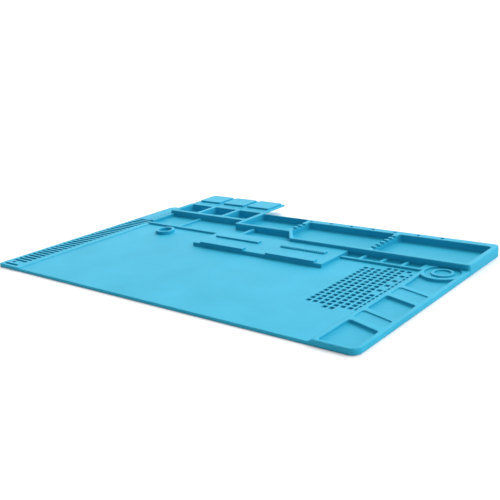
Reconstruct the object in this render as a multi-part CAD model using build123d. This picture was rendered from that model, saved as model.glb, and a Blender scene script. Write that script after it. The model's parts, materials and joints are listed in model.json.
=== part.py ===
from build123d import *
import os

os.makedirs("parts", exist_ok=True)

# A silicone repair mat with parts trays moulded into it, three fold-over lids and embedded magnets.
# Plan positions are millimetres from the mat's front left corner: x to the right, y to the back, z up.
# place() turns them into the part's own frame, whose origin is under the middle of the whole object.

# Overall sizes
WIDTH = 450.0
BODY_DEPTH = 277.0
OVERALL_DEPTH = 326.0

# Heights of the top surfaces
SHEET_TOP = 3.0
COMB_TOP = 4.0
LOW_TOP = 5.4
PLATFORM_TOP = 7.3
RIB_TOP = 9.2
RIM_TOP = 11.0

# Heights of the floors
GROOVE_FLOOR = 1.0
TRAY_FLOOR = 3.0
BOX_FLOOR = 2.0
DEEP_BIN_FLOOR = 2.2
SHALLOW_BIN_FLOOR = 4.2
SMALL_BIN_FLOOR = 2.6

# Lines that several regions share
COMB_RIGHT = 36.0
TRAYS_LEFT = 31.0
LOW_RIM_FRONT = 198.0
TRAYS_FRONT = 203.0
WALL = 4.0
BOXES_FRONT = 241.0

# Corners of the mat
MAT_CORNER_R = 8.0
FRONT_LEFT_CORNER_R = 2.5
TRAYS_CORNER_R = 4.0

# Comb strip: slots across the left border, and a row of magnets under its back end
SLOT_WIDTH = 3.4
SLOT_PITCH = 6.15
SLOT_X = (4.2, 27.0)
SHORT_SLOT_X = (20.0, 27.0)
STUB_SLOT_X = (9.0, 14.5)
STUB_SLOT = 1
FIRST_SLOT_Y = 5.3
FULL_SLOTS = 34
SHORT_SLOTS = 9
COMB_MAGNET_X = 14.0
COMB_MAGNET_FIRST_Y = 216.0
COMB_MAGNET_PITCH = 12.5
COMB_MAGNET_COUNT = 5
COMB_MAGNET_R = 4.0
COMB_MAGNET_TOP = 2.8

# Screw grid: square blind holes, some left out where a magnet holds screws upright
GRID_LEFT = 353.0
GRID_FRONT = 64.0
GRID_PITCH = 7.05
GRID_HOLE = 4.8
GRID_ORIGIN = (357.4, 75.0)
GRID_ROWS = 15
GRID_COLUMNS = 7
FRONT_ROW_COLUMNS = (3, 4)
BACK_ROW_FIRST_COLUMN = 3
MAGNET_COLUMN = 6
MAGNET_ROWS = (6, 8, 10, 12, 14)
EDGE_HOLE_X = (403.9, 406.1)
GRID_MAGNET_R = 2.2
GRID_MAGNET_TOP = 2.0

# Magnets sit in pockets that open on the underside
MAGNET_BASE = 0.2
MAGNET_GAP = 0.05

# Bin column on the right, reached by a ramp
RAMP_X = (406.4, 410.4)
BIN_X = (413.7, 446.2)
BIN_SLANT = 10.8
FRONT_RIM = 3.6
DEEP_FRONT_Y = (FRONT_RIM, 49.8)
SHALLOW_FRONT_Y = (56.5, 72.3)
DEEP_MIDDLE_Y = (78.5, 112.3)
SHALLOW_REAR_Y = (118.5, 135.7)
SCREW_BIN_FRONT = 142.0
POCKET_CENTRE = (429.4, 189.6)
POCKET_R = 17.5
POCKET_FLOOR = 3.6
SCREW_BIN_ARC_R = 21.0
POCKET_RING_RS = (10.9, 7.7)
POCKET_RING_TOP = 5.2

# A ring on the sheet, to hold a small round pot
STANDING_RING = (81.0, 179.0)
STANDING_RING_RS = (11.4, 7.8)
STANDING_RING_TOP = 7.1

# Small bins between the screw grid and the rear trays
SMALL_BINS_FRONT = 187.0
SMALL_BINS_RIM = 3.5
SMALL_BIN_X = ((320.5, 339.0), (343.0, 362.0), (366.0, 385.5), (389.5, 405.6))

# Platform with its ribs
PLATFORM_X = (150.0, 320.5)
PLATFORM_FRONT = 152.0
RIB_DEPTH = 7.0
LEFT_RIB_X = (161.0, 221.5)
FRONT_RIGHT_RIB_X = (251.0, 311.5)
RULER_RIB_X = (251.0, 306.0)
REAR_RIB_Y = 179.5
TOOTH_COUNT = 20
TOOTH_DEPTH = 1.6

# Rear trays, left to right
CORNER_TRAY_X = (37.0, 80.0)
LONG_TRAY_X = (84.5, 177.0)
LONG_TRAY_STEP = (151.0, 226.0)
LONG_TRAY_END_X = (177.0, 181.5)
TWEEZER_X = (156.5, 224.0)
TWEEZER_BACK_WALL = 2.0
DRIVER_X = (229.5, 339.5)
SPOOL_X = (345.0, 445.0)
REAR_WALL_FRONT = 267.0
DIAGONAL_FOOT_X = 246.4
DIAGONAL_INNER = (248.4, 232.8)

# Half-round notches for tools laid across a wall: the first one's place and how many
NOTCH_PITCH = 8.6
NOTCH_R = 2.6
LEFT_NOTCHES = (239.3, 3)
RIGHT_NOTCHES = (213.5, 6)

# Holes for screwdriver tips in the rear rail
TIP_FIRST_X = 229.0
TIP_PITCH = 27.0
TIP_COUNT = 7
TIP_HOLE_R = 2.0
TIP_HOLE_DEPTH = 7.0
SOCKET_HALF = 5.0

# Lidded boxes behind the long tray
BOX_EDGES = (31.0, 74.0, 113.5, 156.5)
BOX_OPENING_X = ((37.0, 71.5), (76.5, 111.0), (116.0, 150.5))
BOX_OPENING_Y = (247.0, 278.0)
BOXES_BACK = 281.0
HINGE_Y = 285.0
LID_THICKNESS = 1.5
LID_BACK = OVERALL_DEPTH
LID_X = ((33.0, 73.7), (74.3, 113.2), (113.8, 154.5))
LID_CORNER_R = 4.0
PLUG_HEIGHT = 2.2
PLUG_GAP = 0.4
PLUG_Y = (292.5, 322.5)
LID_NAMES = ("left", "middle", "right")


def place(x, y, z=0.0):
    """A plan position and a height as a point of the part's frame."""
    return (x - WIDTH / 2, y - OVERALL_DEPTH / 2, z)


def block(xs, ys, zs):
    """A rectangular block between three pairs of faces."""
    spans = (xs, ys, zs)
    middle = [(low + high) / 2 for low, high in spans]
    return Pos(*place(*middle)) * Box(*[high - low for low, high in spans])


def prism(corners, zs):
    """A polygon of plan positions, raised from one height to another."""
    outline = Wire.make_polygon([place(x, y, zs[0]) for x, y in corners])
    return Solid.extrude(Face(outline), Vector(0, 0, zs[1] - zs[0]))


def post(x, y, radius, zs):
    """An upright round post."""
    height = zs[1] - zs[0]
    return Pos(*place(x, y, zs[0] + height / 2)) * Cylinder(radius, height)


def round_corner(solid, x, y, radius):
    """Rounds the upright edge that stands at a plan position."""
    target = Vector(*place(x, y))
    upright = solid.edges().filter_by(Axis.Z)
    nearest = min(upright, key=lambda edge: abs(edge.center().X - target.X) + abs(edge.center().Y - target.Y))
    return fillet(nearest, radius)


def write(name, shape):
    """Saves one node."""
    export_step(shape, f"parts/{name}.step")


def group(solids):
    """Separate solids that share a node."""
    return Compound(children=list(solids))


# Comb strip and the work sheet ------------------------------------------------------------------


def magnet_seats(centres, radius, top):
    """The space that a row of magnets takes, with a little clearance around each."""
    return [post(x, y, radius + MAGNET_GAP, (0, top)) for x, y in centres]


def magnets(centres, radius, top):
    return group(post(x, y, radius, (MAGNET_BASE, top)) for x, y in centres)


def comb_magnet_centres():
    return [(COMB_MAGNET_X, COMB_MAGNET_FIRST_Y + COMB_MAGNET_PITCH * i) for i in range(COMB_MAGNET_COUNT)]


def comb_strip():
    outline = [
        (0, 0),
        (COMB_RIGHT, 0),
        (COMB_RIGHT, LOW_RIM_FRONT),
        (TRAYS_LEFT, LOW_RIM_FRONT),
        (TRAYS_LEFT, BODY_DEPTH),
        (0, BODY_DEPTH),
    ]
    strip = prism(outline, (0, COMB_TOP))
    strip = round_corner(strip, 0, 0, FRONT_LEFT_CORNER_R)
    strip = round_corner(strip, 0, BODY_DEPTH, MAT_CORNER_R)
    for i in range(FULL_SLOTS + SHORT_SLOTS):
        y = FIRST_SLOT_Y + SLOT_PITCH * i
        xs = SLOT_X if i < FULL_SLOTS else SHORT_SLOT_X
        if i == STUB_SLOT:
            xs = STUB_SLOT_X
        strip -= block(xs, (y - SLOT_WIDTH / 2, y + SLOT_WIDTH / 2), (GROOVE_FLOOR, COMB_TOP))
    for seat in magnet_seats(comb_magnet_centres(), COMB_MAGNET_R, COMB_MAGNET_TOP):
        strip -= seat
    return strip


def work_sheet():
    outline = [
        (COMB_RIGHT, 0),
        (RAMP_X[0], 0),
        (RAMP_X[0], GRID_FRONT),
        (GRID_LEFT, GRID_FRONT),
        (GRID_LEFT, SMALL_BINS_FRONT),
        (PLATFORM_X[1], SMALL_BINS_FRONT),
        (PLATFORM_X[1], PLATFORM_FRONT),
        (PLATFORM_X[0], PLATFORM_FRONT),
        (PLATFORM_X[0], LOW_RIM_FRONT),
        (COMB_RIGHT, LOW_RIM_FRONT),
    ]
    return prism(outline, (0, SHEET_TOP))


def ring(centre, radii, zs):
    outer, inner = radii
    return post(*centre, outer, zs) - post(*centre, inner, zs)


# Screw grid and the ramp beside it --------------------------------------------------------------


def grid_point(column, row):
    return (GRID_ORIGIN[0] + GRID_PITCH * column, GRID_ORIGIN[1] + GRID_PITCH * row)


def grid_magnet_centres():
    return [grid_point(MAGNET_COLUMN, row) for row in MAGNET_ROWS]


def grid_hole(column, row):
    """A blind hole; those beside the ramp are narrower than the rest."""
    x, y = grid_point(column, row)
    half = GRID_HOLE / 2
    xs = EDGE_HOLE_X if column == GRID_COLUMNS else (x - half, x + half)
    return block(xs, (y - half, y + half), (GROOVE_FLOOR, SHEET_TOP))


def screw_grid():
    pad = block((GRID_LEFT, RAMP_X[0]), (GRID_FRONT, SMALL_BINS_FRONT), (0, SHEET_TOP))
    places = [(c, r) for c in range(GRID_COLUMNS + 1) for r in range(GRID_ROWS)]
    places = [(c, r) for c, r in places if c != MAGNET_COLUMN or r not in MAGNET_ROWS]
    places += [(c, -1) for c in FRONT_ROW_COLUMNS]
    places += [(c, GRID_ROWS) for c in range(BACK_ROW_FIRST_COLUMN, GRID_COLUMNS)]
    for column, row in places:
        pad -= grid_hole(column, row)
    for seat in magnet_seats(grid_magnet_centres(), GRID_MAGNET_R, GRID_MAGNET_TOP):
        pad -= seat
    return pad


def column_ramp():
    left, right = RAMP_X
    corners = [
        place(left, 0, 0),
        place(right, 0, 0),
        place(right, 0, LOW_TOP),
        place(left, 0, SHEET_TOP),
    ]
    return Solid.extrude(Face(Wire.make_polygon(corners)), Vector(0, SMALL_BINS_FRONT, 0))


# Bin column -------------------------------------------------------------------------------------


def slanted(y, x):
    """A bin's edge leans towards the front as it runs to the right."""
    return y - BIN_SLANT * (x - BIN_X[0]) / (BIN_X[1] - BIN_X[0])


def slanted_band(front, back, xs, zs):
    """A prism between two slanted edges."""
    left, right = xs
    return prism(
        [
            (left, slanted(front, left)),
            (right, slanted(front, right)),
            (right, slanted(back, right)),
            (left, slanted(back, left)),
        ],
        zs,
    )


def rim_middle(front_bin, back_bin_start):
    return (front_bin[1] + back_bin_start) / 2


def front_bin():
    """The deep bin in the mat's front right corner; its front rim is square to the sides."""
    left, right = RAMP_X[1], WIDTH
    split = rim_middle(DEEP_FRONT_Y, SHALLOW_FRONT_Y[0])
    outline = [(left, 0), (right, 0), (right, slanted(split, right)), (left, slanted(split, left))]
    body = prism(outline, (0, LOW_TOP))
    body = round_corner(body, WIDTH, 0, MAT_CORNER_R)
    left, right = BIN_X
    front, back = DEEP_FRONT_Y
    opening = [(left, front), (right, front), (right, slanted(back, right)), (left, slanted(back, left))]
    return body - prism(opening, (DEEP_BIN_FLOOR, LOW_TOP))


def middle_bin(cell, opening, floor):
    body = slanted_band(*cell, (RAMP_X[1], WIDTH), (0, LOW_TOP))
    return body - slanted_band(*opening, BIN_X, (floor, LOW_TOP))


def rear_bin_block():
    """The screw bin and, behind it, the round pocket against the spool tray's wall."""
    left, right = RAMP_X[1], WIDTH
    split = rim_middle(SHALLOW_REAR_Y, SCREW_BIN_FRONT)
    outline = [
        (left, slanted(split, left)),
        (right, slanted(split, right)),
        (right, TRAYS_FRONT),
        (left, TRAYS_FRONT),
    ]
    body = prism(outline, (0, LOW_TOP))
    left, right = BIN_X
    front = SCREW_BIN_FRONT
    far = POCKET_CENTRE[1]
    opening = [(left, front), (right, slanted(front, right)), (right, far), (left, far)]
    bin_cut = prism(opening, (DEEP_BIN_FLOOR, LOW_TOP))
    bin_cut -= post(*POCKET_CENTRE, SCREW_BIN_ARC_R, (0, LOW_TOP))
    return body - bin_cut - post(*POCKET_CENTRE, POCKET_R, (POCKET_FLOOR, LOW_TOP))


def bin_column():
    splits = [
        rim_middle(DEEP_FRONT_Y, SHALLOW_FRONT_Y[0]),
        rim_middle(SHALLOW_FRONT_Y, DEEP_MIDDLE_Y[0]),
        rim_middle(DEEP_MIDDLE_Y, SHALLOW_REAR_Y[0]),
        rim_middle(SHALLOW_REAR_Y, SCREW_BIN_FRONT),
    ]
    return {
        "front_deep_bin": front_bin(),
        "front_shallow_bin": middle_bin(splits[0:2], SHALLOW_FRONT_Y, SHALLOW_BIN_FLOOR),
        "middle_deep_bin": middle_bin(splits[1:3], DEEP_MIDDLE_Y, DEEP_BIN_FLOOR),
        "rear_shallow_bin": middle_bin(splits[2:4], SHALLOW_REAR_Y, SHALLOW_BIN_FLOOR),
        "rear_bin_block": rear_bin_block(),
    }


def small_bin_row():
    row = block((PLATFORM_X[1], RAMP_X[1]), (SMALL_BINS_FRONT, TRAYS_FRONT), (0, LOW_TOP))
    for xs in SMALL_BIN_X:
        row -= block(xs, (SMALL_BINS_FRONT + SMALL_BINS_RIM, TRAYS_FRONT), (SMALL_BIN_FLOOR, LOW_TOP))
    return row


# Platform and ribs ------------------------------------------------------------------------------


def rib(xs, front):
    return block(xs, (front, front + RIB_DEPTH), (PLATFORM_TOP, RIB_TOP))


def ruler_rib():
    """A rib whose front face carries a row of evenly spaced teeth."""
    bar = rib(RULER_RIB_X, REAR_RIB_Y)
    left, right = RULER_RIB_X
    pitch = (right - left) / TOOTH_COUNT
    for i in range(TOOTH_COUNT):
        x = left + pitch * (i + 0.5)
        half = pitch / 4
        bar -= block((x - half, x + half), (REAR_RIB_Y, REAR_RIB_Y + TOOTH_DEPTH), (PLATFORM_TOP, RIB_TOP))
    return bar


# Rear trays -------------------------------------------------------------------------------------


def notched_wall(xs, ys, top, notches):
    """A wall with half-round notches across its top, for tools laid over it."""
    wall = block(xs, ys, (0, top))
    middle_x = (xs[0] + xs[1]) / 2
    first, count = notches
    for i in range(count):
        y = first + NOTCH_PITCH * i
        wall -= Pos(*place(middle_x, y, top)) * Rot(0, 90, 0) * Cylinder(NOTCH_R, xs[1] - xs[0])
    return wall


def long_tray_floor():
    left, right = LONG_TRAY_X
    step_x, step_y = LONG_TRAY_STEP
    outline = [
        (left, TRAYS_FRONT),
        (right, TRAYS_FRONT),
        (right, step_y),
        (step_x, step_y),
        (step_x, BOXES_FRONT),
        (left, BOXES_FRONT),
    ]
    return prism(outline, (0, TRAY_FLOOR))


def rest_tray_floor():
    left = LONG_TRAY_END_X[1]
    back = LONG_TRAY_STEP[1]
    outline = [(left, TRAYS_FRONT), (DIAGONAL_FOOT_X, TRAYS_FRONT), (DRIVER_X[0], back), (left, back)]
    return prism(outline, (0, TRAY_FLOOR))


def tweezer_tray():
    left, right = TWEEZER_X
    outer_left, front = LONG_TRAY_STEP
    inner_front = front + WALL
    inner_back = BODY_DEPTH - TWEEZER_BACK_WALL
    tray = block((left, right), (inner_front, inner_back), (0, TRAY_FLOOR))
    tray += block((outer_left, right), (front, inner_front), (0, RIM_TOP))
    tray += block((outer_left, left), (inner_front, BOXES_FRONT), (0, RIM_TOP))
    tray += block((left, right), (inner_back, BODY_DEPTH), (0, RIM_TOP))
    return tray


def driver_tray():
    left, right = DRIVER_X
    inner_front = TRAYS_FRONT + WALL
    inner_x, inner_y = DIAGONAL_INNER
    floor_outline = [
        (left, inner_y),
        (inner_x, inner_front),
        (right, inner_front),
        (right, REAR_WALL_FRONT),
        (left, REAR_WALL_FRONT),
    ]
    wall_outline = [
        (left, LONG_TRAY_STEP[1]),
        (DIAGONAL_FOOT_X, TRAYS_FRONT),
        (right, TRAYS_FRONT),
        (right, inner_front),
        (inner_x, inner_front),
        (left, inner_y),
    ]
    return prism(floor_outline, (0, TRAY_FLOOR)) + prism(wall_outline, (0, RIM_TOP))


def spool_tray():
    left, right = SPOOL_X
    inner_front = TRAYS_FRONT + WALL
    tray = block((left, right), (inner_front, REAR_WALL_FRONT), (0, TRAY_FLOOR))
    tray += block((left, right), (TRAYS_FRONT, inner_front), (0, RIM_TOP))
    side = block((right, WIDTH), (TRAYS_FRONT, BODY_DEPTH), (0, RIM_TOP))
    return tray + round_corner(side, WIDTH, BODY_DEPTH, TRAYS_CORNER_R)


def tip_hole_xs():
    return [TIP_FIRST_X + TIP_PITCH * i for i in range(TIP_COUNT)]


def tip_sockets():
    solids = []
    for x in tip_hole_xs():
        xs = (x - SOCKET_HALF, x + SOCKET_HALF)
        socket = block(xs, (REAR_WALL_FRONT, BODY_DEPTH), (0, RIM_TOP))
        middle = (REAR_WALL_FRONT + BODY_DEPTH) / 2
        solids.append(socket - post(x, middle, TIP_HOLE_R, (RIM_TOP - TIP_HOLE_DEPTH, RIM_TOP)))
    return group(solids)


def rear_rail():
    """The stretches of rear wall between the tip sockets."""
    starts = [x + SOCKET_HALF for x in tip_hole_xs()]
    ends = [x - SOCKET_HALF for x in tip_hole_xs()[1:]] + [SPOOL_X[1]]
    return group(block(xs, (REAR_WALL_FRONT, BODY_DEPTH), (0, RIM_TOP)) for xs in zip(starts, ends))


# Lidded boxes -----------------------------------------------------------------------------------


def box(outer_xs, opening_xs):
    solid = block(outer_xs, (BOXES_FRONT, BOXES_BACK), (0, RIM_TOP))
    return solid - block(opening_xs, BOX_OPENING_Y, (BOX_FLOOR, RIM_TOP))


def hinge_web(xs):
    return block(xs, (BOXES_BACK, HINGE_Y), (RIM_TOP - LID_THICKNESS, RIM_TOP))


def lid_flap(xs):
    """One lid, laid open and level behind its hinge."""
    flap = block(xs, (HINGE_Y, LID_BACK), (RIM_TOP - LID_THICKNESS, RIM_TOP))
    for x in xs:
        flap = round_corner(flap, x, LID_BACK, LID_CORNER_R)
    return flap


def lid_plug(opening_xs):
    """The raised pad that drops into the box when the lid is folded over."""
    xs = (opening_xs[0] + PLUG_GAP, opening_xs[1] - PLUG_GAP)
    return block(xs, PLUG_Y, (RIM_TOP, RIM_TOP + PLUG_HEIGHT))


# Write the nodes --------------------------------------------------------------------------------

write("comb_strip", comb_strip())
write("comb_magnets", magnets(comb_magnet_centres(), COMB_MAGNET_R, COMB_MAGNET_TOP))
write("work_sheet", work_sheet())
write("screw_grid", screw_grid())
write("grid_magnets", magnets(grid_magnet_centres(), GRID_MAGNET_R, GRID_MAGNET_TOP))
write("column_ramp", column_ramp())
for name, solid in bin_column().items():
    write(name, solid)
write("pocket_ring", ring(POCKET_CENTRE, POCKET_RING_RS, (POCKET_FLOOR, POCKET_RING_TOP)))
write("standing_ring", ring(STANDING_RING, STANDING_RING_RS, (SHEET_TOP, STANDING_RING_TOP)))
write("small_bin_row", small_bin_row())

write("platform", block(PLATFORM_X, (PLATFORM_FRONT, TRAYS_FRONT), (0, PLATFORM_TOP)))
write("front_left_rib", rib(LEFT_RIB_X, PLATFORM_FRONT))
write("front_right_rib", rib(FRONT_RIGHT_RIB_X, PLATFORM_FRONT))
write("rear_left_rib", rib(LEFT_RIB_X, REAR_RIB_Y))
write("ruler_rib", ruler_rib())

write("low_front_rim", block((TRAYS_LEFT, PLATFORM_X[0]), (LOW_RIM_FRONT, TRAYS_FRONT), (0, LOW_TOP)))
side_wall_xs = (TRAYS_LEFT, CORNER_TRAY_X[0])
write("corner_tray_side_wall", block(side_wall_xs, (TRAYS_FRONT, BOXES_FRONT), (0, PLATFORM_TOP)))
write("corner_tray_floor", block(CORNER_TRAY_X, (TRAYS_FRONT, BOXES_FRONT), (0, TRAY_FLOOR)))
divider_xs = (CORNER_TRAY_X[1], LONG_TRAY_X[0])
write("corner_tray_divider", block(divider_xs, (TRAYS_FRONT, BOXES_FRONT), (0, LOW_TOP)))
write("long_tray_floor", long_tray_floor())
write("long_tray_end", block(LONG_TRAY_END_X, (TRAYS_FRONT, LONG_TRAY_STEP[1]), (0, PLATFORM_TOP)))
write("rest_tray_floor", rest_tray_floor())
write("tweezer_tray", tweezer_tray())
left_ys = (LONG_TRAY_STEP[1], REAR_WALL_FRONT)
write("notched_divider_left", notched_wall((TWEEZER_X[1], DRIVER_X[0]), left_ys, RIM_TOP, LEFT_NOTCHES))
right_ys = (TRAYS_FRONT, REAR_WALL_FRONT)
write("notched_divider_right", notched_wall((DRIVER_X[1], SPOOL_X[0]), right_ys, RIM_TOP, RIGHT_NOTCHES))
write("driver_tray", driver_tray())
write("spool_tray", spool_tray())
write("rear_rail", rear_rail())
write("tip_sockets", tip_sockets())

for side, outer, opening, lid in zip(LID_NAMES, zip(BOX_EDGES, BOX_EDGES[1:]), BOX_OPENING_X, LID_X):
    write(f"box_{side}", box(outer, opening))
    write(f"lid_{side}_flap", lid_flap(lid))
    write(f"lid_{side}_plug", lid_plug(opening))
write("lid_hinges", group(hinge_web(xs) for xs in LID_X))
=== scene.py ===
import json
import math

import bmesh
import bpy
import numpy as np
from mathutils import Matrix, Vector
from mathutils.geometry import delaunay_2d_cdt


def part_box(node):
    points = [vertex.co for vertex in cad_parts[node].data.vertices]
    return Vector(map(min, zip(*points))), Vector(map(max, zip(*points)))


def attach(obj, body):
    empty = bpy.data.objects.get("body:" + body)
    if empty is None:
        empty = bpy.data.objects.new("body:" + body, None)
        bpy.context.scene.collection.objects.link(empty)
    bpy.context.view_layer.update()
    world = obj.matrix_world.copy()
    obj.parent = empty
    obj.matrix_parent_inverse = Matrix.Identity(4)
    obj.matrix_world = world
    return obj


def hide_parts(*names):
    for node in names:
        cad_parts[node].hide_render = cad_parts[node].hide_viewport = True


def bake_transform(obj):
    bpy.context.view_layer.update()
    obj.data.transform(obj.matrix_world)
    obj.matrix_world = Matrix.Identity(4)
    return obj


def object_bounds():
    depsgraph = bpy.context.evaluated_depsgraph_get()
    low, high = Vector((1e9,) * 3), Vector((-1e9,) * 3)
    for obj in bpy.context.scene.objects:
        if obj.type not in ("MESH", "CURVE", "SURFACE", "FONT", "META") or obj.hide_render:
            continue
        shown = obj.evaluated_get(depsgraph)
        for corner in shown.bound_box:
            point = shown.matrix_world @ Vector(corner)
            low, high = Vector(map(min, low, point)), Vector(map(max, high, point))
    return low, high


# The silicone moulding, its lids and its magnets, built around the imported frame.
# Lengths are millimetres from the mat's front left corner until an object is made, in metres.

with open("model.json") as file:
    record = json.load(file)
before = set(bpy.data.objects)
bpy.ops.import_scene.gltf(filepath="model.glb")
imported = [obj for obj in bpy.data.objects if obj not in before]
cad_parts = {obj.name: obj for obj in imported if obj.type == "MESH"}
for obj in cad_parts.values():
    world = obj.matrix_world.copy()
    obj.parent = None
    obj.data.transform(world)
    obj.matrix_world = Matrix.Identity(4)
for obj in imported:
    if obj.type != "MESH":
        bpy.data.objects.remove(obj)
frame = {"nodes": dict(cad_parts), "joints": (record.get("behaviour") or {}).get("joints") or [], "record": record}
cad_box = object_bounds()

MM = 0.001
TO_METRES = (MM, MM, MM)
TO_MM = (1000, 1000, 1000)
LOW, HIGH = cad_box
WIDTH = (HIGH[0] - LOW[0]) / MM

# What an edge of a moulded block does where it meets its surroundings
FLUSH = 0        # carries on into the next block at the same height, or is hidden by a taller one
RIM = 1          # stands free: rounded along the top
FOOT_SHEET = 2   # as RIM, with a small fillet where it stands on the sheet or a tray floor
FOOT_DECK = 3    # as RIM, with that fillet on the platform

ROUND = 0.9      # radius along exposed top edges
FOOT = 0.8       # radius of the fillet at the foot of a wall
DRAFT = 0.03     # walls lean by this share of their height
UNDER = 0.35     # how far a bottom edge is cut back
HIDDEN = 1.0     # how far a block runs on into a taller one
ARC_STEPS = 5
CORNER_STEPS = 6
MOST_ROUND = 0.6   # the most of a block's height that a rounding may take
MOST_FOOT = 0.45   # and that a foot's fillet may take
SHARP = math.radians(38)

# How near is the same, in millimetres or as a sine
STRAIGHT = 1e-6
PARALLEL = 1e-4
SAME_POINT = 1e-4
THINNEST = 0.01   # smallest step between two rings of a block


def edges(node):
    """A CAD node's sides in millimetres from the front left corner: x0, x1, y0, y1, z0, z1."""
    low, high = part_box(node)
    sides = []
    for axis in range(3):
        origin = LOW[axis] if axis < 2 else 0.0
        sides += [(low[axis] - origin) / MM, (high[axis] - origin) / MM]
    return sides


SHEET_TOP = edges("work_sheet")[5]
LOW_TOP = edges("small_bin_row")[5]
DECK_TOP = edges("platform")[5]
RIM_TOP = edges("spool_tray")[5]
TRAY_FLOOR = edges("corner_tray_floor")[5]


# Loops ------------------------------------------------------------------------------------------


def signed_area(points):
    return sum(a.x * b.y - b.x * a.y for a, b in zip(points, points[1:] + points[:1])) / 2


def rounded(corners):
    """A counter-clockwise loop from corners (x, y, radius, kind); kind is that of the edge that leaves."""
    points, kinds = [], []
    for i, (x, y, radius, own) in enumerate(corners):
        before = corners[i - 1]
        after = corners[(i + 1) % len(corners)]
        here = Vector((x, y))
        a = (here - Vector(before[:2])).normalized()
        b = (Vector(after[:2]) - here).normalized()
        cross = a.x * b.y - a.y * b.x
        turn = math.atan2(cross, a.dot(b))
        if radius <= 0:
            if abs(cross) < STRAIGHT and before[3] != own:
                points.append(here.copy())
                kinds.append(before[3])
            points.append(here)
            kinds.append(own)
            continue
        start = here - a * radius * math.tan(abs(turn) / 2)
        centre = start + Vector((-a.y, a.x)) * math.copysign(radius, turn)
        spoke = start - centre
        for k in range(CORNER_STEPS + 1):
            angle = turn * k / CORNER_STEPS
            points.append(centre + Matrix.Rotation(angle, 2) @ spoke)
            kinds.append(own)
    return points, kinds


def rectangle(x0, x1, y0, y1, radius=0.0, kinds=(RIM,) * 4):
    """Edges in the order front, right, back, left."""
    corners = [(x0, y0), (x1, y0), (x1, y1), (x0, y1)]
    return rounded([(x, y, radius, k) for (x, y), k in zip(corners, kinds)])


def circle(x, y, radius, steps=32):
    angles = [math.tau / steps * i for i in range(steps)]
    points = [Vector((x + radius * math.cos(angle), y + radius * math.sin(angle))) for angle in angles]
    return points, [RIM] * steps


def arc(cx, cy, radius, start, end, steps):
    points = []
    for i in range(steps + 1):
        angle = start + (end - start) * i / steps
        points.append(Vector((cx + radius * math.cos(angle), cy + radius * math.sin(angle))))
    return points


def free_loop(points):
    """A loop from plain points, turned counter-clockwise."""
    if signed_area(points) < 0:
        points = points[::-1]
    return points, [RIM] * len(points)


def inset(loop, amounts):
    """The loop with every edge moved inwards by its kind's amount."""
    points, kinds = loop
    count = len(points)
    moved = []
    for i in range(count):
        here = points[i]
        sides = []
        for start, end, kind in (
            (points[i - 1], here, kinds[i - 1]),
            (here, points[(i + 1) % count], kinds[i]),
        ):
            along = end - start
            if along.length > STRAIGHT:
                along.normalize()
                sides.append((Vector((-along.y, along.x)), amounts.get(kind, 0.0)))
        if len(sides) == 1:
            normal, distance = sides[0]
            moved.append(here + normal * distance)
            continue
        (n0, d0), (n1, d1) = sides
        det = n0.x * n1.y - n0.y * n1.x
        if abs(det) < PARALLEL:
            moved.append(here + n0 * (d0 + d1) / 2)
        else:
            moved.append(here + Vector(((d0 * n1.y - d1 * n0.y) / det, (n0.x * d1 - n1.x * d0) / det)))
    return moved


# Moulded blocks ---------------------------------------------------------------------------------


LEAST_WEAR = 0.2
WALL_SHADE = 0.4  # share of a hollow's painted shade on its wall beside its floor


def rubbed(angle):
    """How worn a rounded edge is, most in its middle."""
    return LEAST_WEAR + (1 - LEAST_WEAR) * math.sin(angle * 2)


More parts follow.
